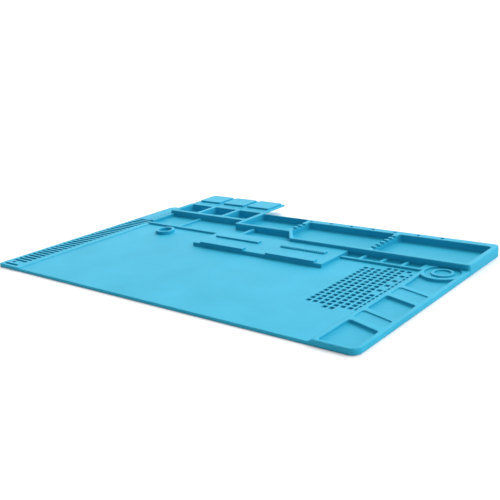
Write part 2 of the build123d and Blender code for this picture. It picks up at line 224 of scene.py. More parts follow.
class Moulding:
    """A closed mesh of one or more moulded blocks."""

    def __init__(self):
        self.mesh = bmesh.new()
        self.wear = self.mesh.verts.layers.float.new("edge_wear")
        # An amount of painted shade for each vertex: it darkens the feet of walls and the floors and lower walls
        # of hollows.
        self.crease_shading = self.mesh.verts.layers.float.new("painted_crease_shade")

    def ring(self, points, z, wear=0.0, crease_shading=0.0):
        verts = []
        for p in points:
            vert = self.mesh.verts.new((p.x, p.y, z))
            vert[self.wear] = wear
            vert[self.crease_shading] = crease_shading
            verts.append(vert)
        return verts

    def skirt(self, lower, upper, inward=False):
        count = len(lower)
        for i in range(count):
            j = (i + 1) % count
            corners = [lower[i], lower[j], upper[j], upper[i]]
            self.mesh.faces.new(corners[::-1] if inward else corners)

    def stack(self, loop, levels):
        """Rings at (height, insets by kind, wear, painted crease shade), joined in order. Returns the last."""
        rings = [self.ring(inset(loop, amounts), z, wear, crease_shading) for z, amounts, wear, crease_shading in levels]
        for lower, upper in zip(rings, rings[1:]):
            self.skirt(lower, upper)
        return rings[-1]

    def block(
        self, outline, top, pockets=(), wells=(), base=0.0, radius=ROUND, foot=FOOT, under=UNDER, hollow_shade=1.0
    ):
        """One block. Pockets are (loop, floor, rim radius, floor radius); wells open below."""
        kinds = set(outline[1])
        exposed = [k for k in (RIM, FOOT_SHEET, FOOT_DECK) if k in kinds]
        radius = min(radius, (top - base) * MOST_ROUND)
        levels = [(base, {}, 0, 0)]
        if RIM in kinds:
            levels = [(base, {RIM: under}, 0, 0), (base + under, {}, 0, 0)]
        for kind, height in ((FOOT_SHEET, SHEET_TOP), (FOOT_DECK, DECK_TOP)):
            if kind not in kinds:
                continue
            height = max(height, base)
            if height > levels[-1][0] + THINNEST:
                levels.append((height, {}, 0, 0))
            size = min(foot, (top - height) * MOST_FOOT)
            for step in range(ARC_STEPS + 1):
                angle = math.pi / 2 * step / ARC_STEPS
                out = -size * (1 - math.sin(angle))
                # The last value is painted shade, darkest at the bottom of the fillet.
                levels.append((height + size * (1 - math.cos(angle)), {kind: out}, 0, 1.0 - step / ARC_STEPS))
        lean = DRAFT * (top - radius - levels[-1][0])
        for step in range(ARC_STEPS + 1):
            angle = math.pi / 2 * step / ARC_STEPS
            amount = lean + radius * (1 - math.cos(angle))
            z = top - radius * (1 - math.sin(angle))
            levels.append((z, {k: amount for k in exposed}, rubbed(angle), 0))
        self.stack(outline, levels)
        for loop, floor, rim_radius, floor_radius in pockets:
            self.pocket(loop, top, floor, rim_radius, floor_radius, hollow_shade)
        for loop, ceiling in wells:
            rim = self.ring(loop[0], base)
            end = self.ring(loop[0], ceiling)
            self.skirt(rim, end, inward=True)
            self.mesh.faces.new(end[::-1])
        self.close(top, base)
        return self

    def pocket(self, loop, top, floor, rim_radius, floor_radius, hollow_shade):
        """A hollow: edges of kind FLUSH have no rounding along the top."""
        levels = []
        for step in range(ARC_STEPS + 1):
            angle = math.pi / 2 * step / ARC_STEPS
            out = -rim_radius * (1 - math.sin(angle))
            levels.append((top - rim_radius * (1 - math.cos(angle)), {RIM: out}, rubbed(angle), 0))
        lean = DRAFT * (top - floor)
        for step in range(ARC_STEPS + 1):
            angle = math.pi / 2 * step / ARC_STEPS
            amount = lean + floor_radius * (1 - math.cos(angle))
            z = floor + floor_radius * (1 - math.sin(angle))
            # Painted shade: a hollow's floor is darkened fully and its wall partly, more in narrow holes.
            shade_amount = hollow_shade * (WALL_SHADE + (1 - WALL_SHADE) * math.sin(angle))
            levels.append((z, {RIM: amount, FLUSH: amount}, 0, shade_amount))
        self.mesh.faces.new(self.stack(loop, levels))

    def close(self, top, base):
        """Fills the open top and underside, around the pockets and wells."""
        bmesh.ops.remove_doubles(self.mesh, verts=self.mesh.verts, dist=SAME_POINT)
        for z, up in ((top, True), (base, False)):
            rim = [
                e
                for e in self.mesh.edges
                if len(e.link_faces) == 1 and all(abs(v.co.z - z) < SAME_POINT for v in e.verts)
            ]
            self.cap(rim, up)

    def cap(self, rim, up):
        """Flat triangles over the area that an even number of the rim's loops doesn't cut out."""
        self.mesh.verts.index_update()
        verts = sorted({v for e in rim for v in e.verts}, key=lambda v: v.index)
        number = {v: i for i, v in enumerate(verts)}
        flat = [v.co.xy for v in verts]
        lines = [(number[e.verts[0]], number[e.verts[1]]) for e in rim]
        points, _, faces, origins, _, _ = delaunay_2d_cdt(flat, lines, [], 0, STRAIGHT)
        ends = np.array([[flat[a][:], flat[b][:]] for a, b in lines])
        for face in faces:
            x, y = sum((points[i] for i in face), Vector((0, 0))) / len(face)
            (x0, y0), (x1, y1) = ends[:, 0].T, ends[:, 1].T
            spans = (y0 > y) != (y1 > y)
            cross = x0[spans] + (y - y0[spans]) * (x1 - x0)[spans] / (y1 - y0)[spans]
            if np.count_nonzero(cross > x) % 2 == 0:
                continue
            if any(not origins[i] for i in face):
                raise ValueError(f"loops cross near {[points[i][:] for i in face if not origins[i]]}")
            corners = [verts[origins[i][0]] for i in face]
            a, b, c = (v.co.xy for v in corners[:3])
            if ((b - a).cross(c - a) > 0) != up:
                corners.reverse()
            self.mesh.faces.new(corners)


SMALLEST_EDGE = 1e-5


def tidy(mesh):
    """Consistent normals, and sharp edges marked where two faces meet at more than a rounding's step."""
    bmesh.ops.dissolve_degenerate(mesh, dist=SMALLEST_EDGE, edges=mesh.edges)
    bmesh.ops.recalc_face_normals(mesh, faces=mesh.faces)
    if mesh.calc_volume(signed=True) < 0:
        bmesh.ops.reverse_faces(mesh, faces=mesh.faces)
    for face in mesh.faces:
        face.smooth = True
    for edge in mesh.edges:
        edge.smooth = len(edge.link_faces) == 2 and edge.calc_face_angle(0.0) < SHARP


def piece(name, moulding, material, body, slot, *nodes, shape=None):
    """Makes the object, in metres about the middle of the mat, and hands it to the frame."""
    mesh = moulding.mesh
    if shape:
        shape(mesh)
    bmesh.ops.transform(mesh, matrix=Matrix.Scale(MM, 4), verts=mesh.verts)
    bmesh.ops.translate(mesh, vec=(LOW[0], LOW[1], 0.0), verts=mesh.verts)
    bmesh.ops.scale(mesh, vec=TO_MM, verts=mesh.verts)
    tidy(mesh)
    bmesh.ops.scale(mesh, vec=TO_METRES, verts=mesh.verts)
    data = bpy.data.meshes.new(name)
    mesh.to_mesh(data)
    mesh.free()
    obj = bpy.data.objects.new(name, data)
    bpy.context.scene.collection.objects.link(obj)
    data.materials.append(material)
    weigh_normals(obj)
    if body:
        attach(obj, body)
    if nodes:
        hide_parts(*nodes)
    return obj


def apply_modifiers(obj):
    depsgraph = bpy.context.evaluated_depsgraph_get()
    done = bpy.data.meshes.new_from_object(obj.evaluated_get(depsgraph))
    obj.modifiers.clear()
    old = obj.data
    obj.data = done
    bpy.data.meshes.remove(old)
    done.name = obj.name


NORMAL_WEIGHT = 90


def weigh_normals(obj):
    modifier = obj.modifiers.new("weigh", "WEIGHTED_NORMAL")
    modifier.keep_sharp = True
    modifier.weight = NORMAL_WEIGHT
    apply_modifiers(obj)


# Materials --------------------------------------------------------------------------------------


def node(tree, kind, **values):
    made = tree.nodes.new(kind)
    for key, value in values.items():
        if hasattr(made, key):
            setattr(made, key, value)
        else:
            made.inputs[key.replace("_", " ")].default_value = value
    return made


def remap(tree, value, before=(0.0, 1.0), after=(0.0, 1.0)):
    """A value carried from one range into another."""
    made = tree.nodes.new("ShaderNodeMapRange")
    for side, (low, high) in (("From", before), ("To", after)):
        made.inputs[side + " Min"].default_value = low
        made.inputs[side + " Max"].default_value = high
    tree.links.new(value, made.inputs["Value"])
    return made.outputs["Result"]


def shade(colour, share, lift=0.0):
    return tuple(min(1.0, c * share + lift) for c in colour) + (1.0,)


def mixed(tree, factor, first, second):
    """The first colour, which is a socket, with some of the second, which is fixed."""
    made = node(tree, "ShaderNodeMix", data_type="RGBA")
    tree.links.new(factor, made.inputs["Factor"])
    tree.links.new(first, made.inputs["A"])
    made.inputs["B"].default_value = second
    return made.outputs["Result"]


DEEP = 0.93                 # share of the colour in the mottling's dark patches
PALE = (1.05, 0.008)        # share of the colour and what is added
MOTTLE_EDGES = (0.3, 0.7)
WORN = (1.0, 0.25)
WORN_PATCHES = (0.35, 0.75)
WORN_MOST = (0.0, 0.22)
# Painted shade: the dark tint that creases and hollows are mixed towards, and the strength of that mix.
CREASE_TINT = 0.35
CREASE_SHADE_STRENGTH = 0.08
LINT_COLOUR = (0.62, 0.78, 0.84, 1.0)
LINT_REACH = (0.035, 0.07)
LINT_STRENGTH = (0.25, 0.0)
SILICONE_ROUGHNESS = (0.50, 0.66)
SILICONE_SPECULAR = 0.2


def silicone(name, colour):
    """Matte moulded silicone: fine grain, faint mottling, lint, paler worn edges, and painted shade that darkens
    creases and hollows.
    """
    material = bpy.data.materials.new(name)
    material.use_nodes = True
    tree = material.node_tree
    link = tree.links.new
    shader = tree.nodes["Principled BSDF"]
    place = tree.nodes.new("ShaderNodeTexCoord").outputs["Object"]

    mottle = node(tree, "ShaderNodeTexNoise", Scale=14.0, Detail=4.0, Roughness=0.6)
    grain = node(tree, "ShaderNodeTexNoise", Scale=1500.0, Detail=2.0, Roughness=0.6)
    wave = node(tree, "ShaderNodeTexNoise", Scale=55.0, Detail=2.0, Roughness=0.5)
    smear = node(tree, "ShaderNodeTexNoise", Scale=120.0, Detail=5.0, Roughness=0.7)
    lint = node(tree, "ShaderNodeTexVoronoi", Scale=230.0, Randomness=1.0)
    for texture in (mottle, grain, wave, smear, lint):
        link(place, texture.inputs["Vector"])

    shades = tree.nodes.new("ShaderNodeValToRGB")
    tints = (shade(colour, DEEP), shade(colour, *PALE))
    for stop, where, tint in zip(shades.color_ramp.elements, MOTTLE_EDGES, tints):
        stop.position = where
        stop.color = tint
    link(mottle.outputs["Fac"], shades.inputs["Fac"])

    worn = node(tree, "ShaderNodeAttribute", attribute_name="edge_wear")
    amount = node(tree, "ShaderNodeMath", operation="MULTIPLY")
    link(worn.outputs["Fac"], amount.inputs[0])
    link(remap(tree, smear.outputs["Fac"], WORN_PATCHES, WORN_MOST), amount.inputs[1])
    edge = mixed(tree, amount.outputs["Value"], shades.outputs["Color"], shade(colour, *WORN))

    # Painted shade: the crease layer mixes the colour towards a dark tint in creases and hollows.
    shade_amount = node(tree, "ShaderNodeAttribute", attribute_name="painted_crease_shade")
    dim = node(tree, "ShaderNodeMath", operation="MULTIPLY")
    dim.inputs[1].default_value = CREASE_SHADE_STRENGTH
    link(shade_amount.outputs["Fac"], dim.inputs[0])
    crease_shading = mixed(tree, dim.outputs["Value"], edge, shade(colour, CREASE_TINT))

    speck = remap(tree, lint.outputs["Distance"], LINT_REACH, LINT_STRENGTH)
    link(mixed(tree, speck, crease_shading, LINT_COLOUR), shader.inputs["Base Color"])
    link(remap(tree, smear.outputs["Fac"], after=SILICONE_ROUGHNESS), shader.inputs["Roughness"])

    soft = node(tree, "ShaderNodeBump", Strength=0.25, Distance=0.0004)
    link(wave.outputs["Fac"], soft.inputs["Height"])
    fine = node(tree, "ShaderNodeBump", Strength=0.22, Distance=0.00006)
    link(grain.outputs["Fac"], fine.inputs["Height"])
    link(soft.outputs["Normal"], fine.inputs["Normal"])
    link(fine.outputs["Normal"], shader.inputs["Normal"])
    shader.inputs["Specular IOR Level"].default_value = SILICONE_SPECULAR
    return material


NICKEL_TINTS = ((0.50, 0.49, 0.47, 1.0), (0.72, 0.71, 0.68, 1.0))
NICKEL_ROUGHNESS = (0.2, 0.42)


def nickel(name):
    """Satin nickel plate with fine turning marks and small scratches."""
    material = bpy.data.materials.new(name)
    material.use_nodes = True
    tree = material.node_tree
    link = tree.links.new
    shader = tree.nodes["Principled BSDF"]
    shader.inputs["Metallic"].default_value = 1.0
    place = tree.nodes.new("ShaderNodeTexCoord").outputs["Object"]
    marks = node(tree, "ShaderNodeTexNoise", Scale=900.0, Detail=6.0, Roughness=0.7)
    cloud = node(tree, "ShaderNodeTexNoise", Scale=180.0, Detail=3.0)
    for texture in (marks, cloud):
        link(place, texture.inputs["Vector"])
    shades = tree.nodes.new("ShaderNodeValToRGB")
    for stop, tint in zip(shades.color_ramp.elements, NICKEL_TINTS):
        stop.color = tint
    link(cloud.outputs["Fac"], shades.inputs["Fac"])
    link(shades.outputs["Color"], shader.inputs["Base Color"])
    link(remap(tree, marks.outputs["Fac"], after=NICKEL_ROUGHNESS), shader.inputs["Roughness"])
    bump = node(tree, "ShaderNodeBump", Strength=0.2, Distance=0.00003)
    link(marks.outputs["Fac"], bump.inputs["Height"])
    link(bump.outputs["Normal"], shader.inputs["Normal"])
    return material


SILICONE_BLUE = (0.012, 0.41, 0.62)
MAT_BLUE = silicone("mat_silicone_moulded", SILICONE_BLUE)
LID_BLUE = silicone("lid_silicone_moulded", SILICONE_BLUE)
NICKEL = nickel("nickel_plate")


def mat_piece(name, moulding, *nodes, shape=None):
    return piece(name, moulding, MAT_BLUE, "mat", "mat_silicone", *nodes, shape=shape)


# Comb strip and work sheet ----------------------------------------------------------------------

MAT_CORNER = 8.0
FRONT_LEFT_CORNER = 2.5
SLOT_WIDTH = 3.4
SLOT_PITCH = 6.15
FIRST_SLOT = 5.3
SLOT_X = (4.2, 27.0)
SHORT_SLOT_X = (20.0, 27.0)
STUB_SLOT_X = (9.0, 14.5)
FULL_SLOTS = 34
SLOTS = 43
GROOVE_FLOOR = 1.0
HOLE_ROUND = 0.3
HOLE_SHADE = 6.0        # painted shade: how much darker narrow holes are than the creases of wide trays
# The same painted shade, stronger, in the comb's slots.
SLOT_SHADE = 10.0
SLOT_CORNER = 1.1
SLOT_FILLET = 0.5
STRIP_FOOT = 0.2
STRIP_WELL = 2.8   # heights of the wells that the magnets sit in
GRID_WELL = 2.0
MAGNET_GAP = 0.08
MAGNET_WELD = 1e-6
STUB_SLOT = 1
RINGS = (("standing_ring", 3.6, 0.9, 0.6), ("pocket_ring", 3.2, 0.6, 0.3))  # wall, rim radius, foot radius
COLLAR_STEPS = 48
COLLAR_FOOT_STEPS = 3


def magnets(node_name, ceiling):
    """Wells under the magnets of a CAD node, found from its separate solids."""
    obj = frame["nodes"][node_name]
    mesh = bmesh.new()
    mesh.from_mesh(obj.data)
    bmesh.ops.remove_doubles(mesh, verts=mesh.verts, dist=MAGNET_WELD)
    left = set(mesh.verts)
    wells = []
    while left:
        group, queue = set(), [next(iter(left))]
        while queue:
            vert = queue.pop()
            if vert in group:
                continue
            group.add(vert)
            queue += [e.other_vert(vert) for e in vert.link_edges]
        left -= group
        xs = [(v.co.x - LOW[0]) / MM for v in group]
        ys = [(v.co.y - LOW[1]) / MM for v in group]
        radius = (max(xs) - min(xs)) / 2 + MAGNET_GAP
        wells.append((circle((max(xs) + min(xs)) / 2, (max(ys) + min(ys)) / 2, radius), ceiling))
    mesh.free()
    return sorted(wells, key=lambda w: w[0][0][0].y)


def comb_strip():
    _, right, _, back, _, top = edges("comb_strip")
    inner, _, rim_front, _, _, _ = edges("low_front_rim")
    outline = rounded([
        (0, 0, FRONT_LEFT_CORNER, RIM),
        (right, 0, 0, FOOT_SHEET),
        (right, rim_front, 0, FLUSH),
        (inner, rim_front, 0, FLUSH),
        (inner, back, 0, RIM),
        (0, back, MAT_CORNER, RIM),
    ])
    pockets = []
    for i in range(SLOTS):
        y = FIRST_SLOT + SLOT_PITCH * i
        x0, x1 = SLOT_X if i < FULL_SLOTS else SHORT_SLOT_X
        if i == STUB_SLOT:
            x0, x1 = STUB_SLOT_X
        loop = rectangle(x0, x1, y - SLOT_WIDTH / 2, y + SLOT_WIDTH / 2, SLOT_CORNER)
        pockets.append((loop, GROOVE_FLOOR, HOLE_ROUND, SLOT_FILLET))
    wells = magnets("comb_magnets", STRIP_WELL)
    made = Moulding().block(outline, top, pockets, wells, foot=STRIP_FOOT, hollow_shade=SLOT_SHADE)
    return mat_piece("comb_strip_moulding", made, "comb_strip")


def work_sheet():
    comb_right = edges("comb_strip")[1]
    ramp_left = edges("column_ramp")[0]
    grid_left, _, grid_front, _, _, _ = edges("screw_grid")
    bins_front = edges("small_bin_row")[2]
    deck_left, deck_right, deck_front, _, _, _ = edges("platform")
    rim_front = edges("low_front_rim")[2]
    outline = rounded([
        (comb_right, 0, 0, RIM),
        (ramp_left, 0, 0, FLUSH),
        (ramp_left, grid_front, 0, FLUSH),
        (grid_left, grid_front, 0, FLUSH),
        (grid_left, bins_front, 0, FLUSH),
        (deck_right, bins_front, 0, FLUSH),
        (deck_right, deck_front, 0, FLUSH),
        (deck_left, deck_front, 0, FLUSH),
        (deck_left, rim_front, 0, FLUSH),
        (comb_right, rim_front, 0, FLUSH),
    ])
    return mat_piece("work_sheet_moulding", Moulding().block(outline, SHEET_TOP), "work_sheet")


def quarter(steps):
    """Sines and cosines from the upright to the level."""
    return [(math.sin(math.pi / 2 * k / steps), math.cos(math.pi / 2 * k / steps)) for k in range(steps + 1)]


def collar(moulding, x, y, outer, inner, z0, z1, radius, foot):
    """A ring that stands on a floor, with rounded rims and small fillets at its foot."""
    foots = [(foot * (1 - sine), z0 + foot * (1 - cosine)) for sine, cosine in quarter(COLLAR_FOOT_STEPS)]
    rims = [(radius * (1 - cosine), z1 - radius * (1 - sine), sine) for sine, cosine in quarter(ARC_STEPS)]
    profile = [(outer + out, z, 0.0) for out, z in foots]
    profile += [(outer - back, z, wear) for back, z, wear in rims]
    profile += [(inner + back, z, wear) for back, z, wear in reversed(rims)]
    profile += [(inner - out, z, 0.0) for out, z in reversed(foots)]
    rings = [moulding.ring(circle(x, y, r, COLLAR_STEPS)[0], z, wear) for r, z, wear in profile]
    for a, b in zip(rings, rings[1:] + rings[:1]):
        moulding.skirt(a, b)
    return moulding


def ring_piece(node_name, wall, radius, foot):
    x0, x1, y0, y1, z0, z1 = edges(node_name)
    outer = (x1 - x0) / 2
    made = collar(Moulding(), (x0 + x1) / 2, (y0 + y1) / 2, outer, outer - wall, z0, z1, radius, foot)
    return mat_piece(node_name + "_moulding", made, node_name)


# Screw grid and ramp ----------------------------------------------------------------------------

GRID_PITCH = 7.05
GRID_HOLE = 4.8
EDGE_HOLE_X = (403.9, 406.1)
GRID_ROUND = 0.25
GRID_CORNER = 0.9
GRID_FILLET = 0.4
GRID_ORIGIN = (357.4, 75.0)
GRID_ROWS = 15
GRID_COLUMNS = 7
FRONT_ROW_COLUMNS = (3, 4)
BACK_ROW_FIRST_COLUMN = 3
MAGNET_COLUMN = 6
MAGNET_ROWS = (6, 8, 10, 12, 14)


def grid_hole(column, row):
    x = GRID_ORIGIN[0] + GRID_PITCH * column
    y = GRID_ORIGIN[1] + GRID_PITCH * row
    half = GRID_HOLE / 2
    x0, x1 = EDGE_HOLE_X if column == GRID_COLUMNS else (x - half, x + half)
    return rectangle(x0, x1, y - half, y + half, GRID_CORNER)


def screw_grid():
    x0, x1, y0, y1, _, top = edges("screw_grid")
    places = [(c, r) for c in range(GRID_COLUMNS + 1) for r in range(GRID_ROWS)]
    places = [(c, r) for c, r in places if c != MAGNET_COLUMN or r not in MAGNET_ROWS]
    places += [(c, -1) for c in FRONT_ROW_COLUMNS]
    places += [(c, GRID_ROWS) for c in range(BACK_ROW_FIRST_COLUMN, GRID_COLUMNS)]
    pockets = [(grid_hole(c, r), GROOVE_FLOOR, GRID_ROUND, GRID_FILLET) for c, r in places]
    outline = rectangle(x0, x1, y0, y1, 0, (FLUSH,) * 4)
    made = Moulding().block(outline, top, pockets, magnets("grid_magnets", GRID_WELL), hollow_shade=HOLE_SHADE)
    return mat_piece("screw_grid_moulding", made, "screw_grid")


def column_ramp():
    x0, x1, y0, y1, _, top = edges("column_ramp")
    outline = rectangle(x0, x1, y0, y1, 0, (RIM, FLUSH, FLUSH, FLUSH))

    def slope(mesh):
        for vert in mesh.verts:
            vert.co.z *= 1 + (top / SHEET_TOP - 1) * (vert.co.x - x0) / (x1 - x0)

    made = Moulding().block(outline, SHEET_TOP)
    return mat_piece("column_ramp_moulding", made, "column_ramp", shape=slope)


# Bin column -------------------------------------------------------------------------------------

BIN_X = (413.7, 446.2)
BIN_SLANT = 10.8
DEEP_FLOOR = 2.2
SHALLOW_FLOOR = 4.2
FRONT_RIM = 3.6
BINS = (
    ("front_deep_bin", None, (FRONT_RIM, 49.8), DEEP_FLOOR),
    ("front_shallow_bin", 53.15, (56.5, 72.3), SHALLOW_FLOOR),
    ("middle_deep_bin", 75.4, (78.5, 112.3), DEEP_FLOOR),
    ("rear_shallow_bin", 115.4, (118.5, 135.7), SHALLOW_FLOOR),
    ("rear_bin_block", 138.85, None, DEEP_FLOOR),
)
BIN_ROUND = 1.1
BIN_UNDER = 0.5
BIN_RIM = (0.8, 0.45)      # the most, and the most as a share of the bin's depth
BIN_FILLET = (1.3, 0.5)
SCREW_BIN_CORNER = 2.0
SCREW_BIN_ROUNDS = (0.8, 1.2)
RECESS_ROUNDS = (0.5, 0.6)
BIN_CORNER = 2.4
POCKET_R = 17.0
POCKET_STEPS = 48
BIN_ARC_R = 21.0
BIN_ARC_STEPS = 20
SCREW_BIN_FRONT = 142.0


def slanted(y, x):
    return y - BIN_SLANT * (x - BIN_X[0]) / (BIN_X[1] - BIN_X[0])


def bin_pocket(span, square_front):
    left, right = BIN_X
    front, back = span
    near = front if square_front else slanted(front, right)
    corners = [(left, front), (right, near), (right, slanted(back, right)), (left, slanted(back, left))]
    return rounded([(x, y, BIN_CORNER, RIM) for x, y in corners])


def bin_cell(index):
    name, start, span, floor = BINS[index]
    left = edges("column_ramp")[1]
    end = BINS[index + 1][1]
    back = [(WIDTH, slanted(end, WIDTH), 0, FLUSH), (left, slanted(end, left), 0, FLUSH)]
    if start is None:
        front = [(left, 0, 0, RIM), (WIDTH, 0, MAT_CORNER, RIM)]
    else:
        front = [(left, slanted(start, left), 0, FLUSH), (WIDTH, slanted(start, WIDTH), 0, RIM)]
    depth = LOW_TOP - floor
    rim, fillet = (min(most, depth * share) for most, share in (BIN_RIM, BIN_FILLET))
    pocket = (bin_pocket(span, start is None), floor, rim, fillet)
    made = Moulding().block(rounded(front + back), LOW_TOP, [pocket], radius=BIN_ROUND, under=BIN_UNDER)
    return mat_piece(name + "_moulding", made, name)


def rear_bin_block():
    name, start, _, floor = BINS[-1]
    left = edges("column_ramp")[1]
    wall = edges("spool_tray")[2]
    x0, x1, y0, y1, pocket_floor, _ = edges("pocket_ring")
    cx, cy = (x0 + x1) / 2, (y0 + y1) / 2
    outline = rounded([
        (left, slanted(start, left), 0, FLUSH),
        (WIDTH, slanted(start, WIDTH), 0, RIM),
        (WIDTH, wall + HIDDEN, 0, FLUSH),
        (left, wall + HIDDEN, 0, FLUSH),
    ])
    near, far = BIN_X
    front = SCREW_BIN_FRONT
    first = math.atan2(-math.sqrt(BIN_ARC_R**2 - (far - cx) ** 2), far - cx)
    last = math.atan2(-math.sqrt(BIN_ARC_R**2 - (near - cx) ** 2), near - cx)
    corners = [
        (near, front, SCREW_BIN_CORNER, RIM),
        (far, slanted(front, far), BIN_CORNER, RIM),
        (far, cy, 0, RIM),
    ]
    bin_points = rounded(corners)[0][:-1]
    bin_points += arc(cx, cy, BIN_ARC_R, first, last, BIN_ARC_STEPS)
    half = math.acos((wall - cy) / POCKET_R)
    start_angle = math.pi / 2 + half
    end_angle = math.pi / 2 - half + math.tau
    round_points = arc(cx, cy, POCKET_R, start_angle, end_angle, POCKET_STEPS)
    kinds = [RIM] * (len(round_points) - 1) + [FLUSH]
    pockets = [
        (free_loop(bin_points), floor, *SCREW_BIN_ROUNDS),
        ((round_points, kinds), pocket_floor, *RECESS_ROUNDS),
    ]
    made = Moulding().block(outline, LOW_TOP, pockets, radius=BIN_ROUND, under=BIN_UNDER)
    return mat_piece(name + "_moulding", made, name)


# Small bins, platform and ribs ------------------------------------------------------------------

SMALL_BIN_X = ((320.5, 339.0), (343.0, 362.0), (366.0, 385.5), (389.5, 405.6))
SMALL_BIN_FLOOR = 2.6
SMALL_BIN_RIM = 3.5
SMALL_BIN_CORNER = 1.6
SMALL_BIN_ROUNDS = (0.7, 0.9)
SEAM = 0.05        # keeps the first bin's side off the block's own side
PLATFORM_CORNER = 1.5
WALL_CORNER = 1.6


def small_bin_row():
    x0, x1, y0, y1, _, top = edges("small_bin_row")
    outline = rectangle(x0, x1, y0, y1 + HIDDEN, 0, (FOOT_SHEET, FLUSH, FLUSH, FLUSH))
    pockets = []
    for left, right in SMALL_BIN_X:
        side = FLUSH if left == SMALL_BIN_X[0][0] else RIM
        left += SEAM if side == FLUSH else 0.0
        corners = [
            (left, y0 + SMALL_BIN_RIM, 0 if side == FLUSH else SMALL_BIN_CORNER, RIM),
            (right, y0 + SMALL_BIN_RIM, SMALL_BIN_CORNER, RIM),
            (right, y1, 0, FLUSH),
            (left, y1, 0, side),
        ]
        pockets.append((rounded(corners), SMALL_BIN_FLOOR, *SMALL_BIN_ROUNDS))
    made = Moulding().block(outline, top, pockets)
    return mat_piece("small_bin_row_moulding", made, "small_bin_row")


def platform():
    x0, x1, y0, y1, _, top = edges("platform")
    ridge0, ridge1 = edges("long_tray_end")[:2]
    corner = edges("rest_tray_floor")[1]
    outline = rounded([
        (x0, y0, PLATFORM_CORNER, FOOT_SHEET),
        (x1, y0, PLATFORM_CORNER, FOOT_SHEET),
        (x1, y1, 0, FLUSH),
        (corner, y1, 0, FOOT_SHEET),
        (ridge1, y1, 0, FLUSH),
        (ridge0, y1, 0, FOOT_SHEET),
        (x0, y1, 0, FOOT_SHEET),
    ])
    return mat_piece("platform_moulding", Moulding().block(outline, top), "platform")


TEETH = 20
TOOTH_FLANKS = (0.25, 0.33, 0.67, 0.75)  # where a gap starts and ends, as shares of the pitch
RIB_CORNER = 0.9
RIB_ROUND = 0.4
TOOTH_ROUND = 0.2
TOOTH_DEPTH = 1.6
TOOTH_SLOPE = 0.55  # height of a tooth's tip as a share of the rib's


def rib(node_name):
    x0, x1, y0, y1, z0, z1 = edges(node_name)
    made = Moulding().block(rectangle(x0, x1, y0, y1, RIB_CORNER), z1, base=z0, radius=RIB_ROUND, under=0.0)
    return mat_piece(node_name + "_moulding", made, node_name)


def ruler_rib():
    x0, x1, y0, y1, z0, z1 = edges("ruler_rib")
    pitch = (x1 - x0) / TEETH
    points = []
    for i in range(TEETH):
        start = x0 + pitch * i
        points += [
            (start, y0),
            (start + pitch * TOOTH_FLANKS[0], y0),
            (start + pitch * TOOTH_FLANKS[1], y0 + TOOTH_DEPTH),
            (start + pitch * TOOTH_FLANKS[2], y0 + TOOTH_DEPTH),
            (start + pitch * TOOTH_FLANKS[3], y0),
        ]
    points += [(x1, y0), (x1, y1), (x0, y1)]
    loop = rounded([(x, y, 0, RIM) for x, y in points])

    def slope(mesh):
        for vert in mesh.verts:
            share = max(0.0, 1 - (vert.co.y - y0) / TOOTH_DEPTH)
            vert.co.z -= (vert.co.z - z0) * (1 - TOOTH_SLOPE) * share

    made = Moulding().block(loop, z1, base=z0, radius=TOOTH_ROUND, under=0.0)
    return mat_piece("ruler_rib_moulding", made, "ruler_rib", shape=slope)


# Front row of the rear trays --------------------------------------------------------------------


def low_front_rim():
    x0, x1, y0, y1, _, top = edges("low_front_rim")
    d0, d1 = edges("corner_tray_divider")[:2]
    wall = edges("corner_tray_side_wall")[1]
    outline = rounded([
        (x0, y0, WALL_CORNER, FOOT_SHEET),
        (x1, y0, 0, FLUSH),
        (x1, y1, 0, FOOT_SHEET),
        (d1, y1, 0, FLUSH),
        (d0, y1, 0, FOOT_SHEET),
        (wall, y1, 0, FLUSH),
        (x0, y1, 0, FOOT_SHEET),
    ])
    return mat_piece("low_front_rim_moulding", Moulding().block(outline, top), "low_front_rim")


def floor_slab(node_name, corners=None):
    x0, x1, y0, y1, _, top = edges(node_name)
    corners = corners or [(x0, y0), (x1, y0), (x1, y1), (x0, y1)]
    outline = rounded([(x, y, 0, FLUSH) for x, y in corners])
    return mat_piece(node_name + "_moulding", Moulding().block(outline, top), node_name)


def long_tray_floor():
    x0, x1, y0, y1, _, _ = edges("long_tray_floor")
    step_x, _, step_y, _, _, _ = edges("tweezer_tray")
    corners = [(x0, y0), (x1, y0), (x1, step_y), (step_x, step_y), (step_x, y1), (x0, y1)]
    return floor_slab("long_tray_floor", corners)


def rest_tray_floor():
    x0, x1, y0, y1, _, _ = edges("rest_tray_floor")
    corners = [(x0, y0), (x1, y0), (edges("notched_divider_left")[1], y1), (x0, y1)]
    return floor_slab("rest_tray_floor", corners)


def upright(node_name, front=FLUSH):
    """A straight wall between two trays, or beside one."""
    x0, x1, y0, y1, _, top = edges(node_name)
    outline = rectangle(x0, x1, y0, y1, 0, (front, FOOT_SHEET, FLUSH, FOOT_SHEET))
    return mat_piece(node_name + "_moulding", Moulding().block(outline, top), node_name)


NOTCH_PITCH = 8.6
NOTCH_R = 2.6
NOTCH_STEPS = 28
NOTCH_FLARE = ((1.2, 0.7), (0.2, 0.45), (-0.7, 0.0))  # distance outside the wall, growth of the radius
NOTCH_WELD = 2e-4


